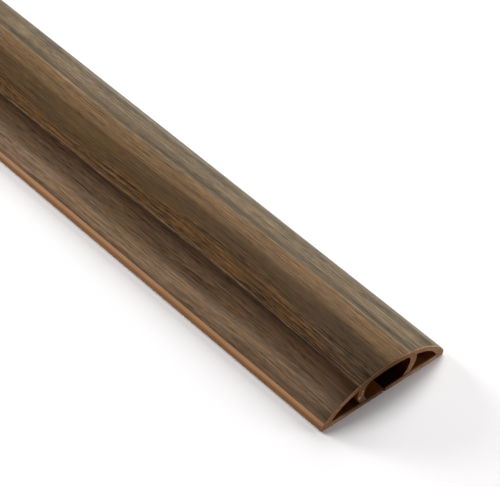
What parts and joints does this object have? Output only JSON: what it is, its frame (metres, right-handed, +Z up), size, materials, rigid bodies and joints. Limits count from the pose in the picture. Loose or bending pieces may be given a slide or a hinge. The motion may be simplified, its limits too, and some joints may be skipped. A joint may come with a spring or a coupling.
{
  "type": "floor cord cover",
  "caption": "Low domed floor cord cover, extruded with a slit cord channel between hollow side chambers and printed with dark wood grain.",
  "frame": {"origin": "middle of the flat base, half way along the length, on the surface that the cover lies on", "axes": "+X along the length, +Y across the width, +Z up through the crown of the dome"},
  "size_m": [1, 0.06, 0.014],
  "materials": {
    "cover": "satin soft plastic with a dark brown wood-grain print on the dome, plain tan-brown at the side edges and cut ends"
  },
  "bodies": {
    "root": {"cord_cover": "cover"}
  },
  "joints": []
}
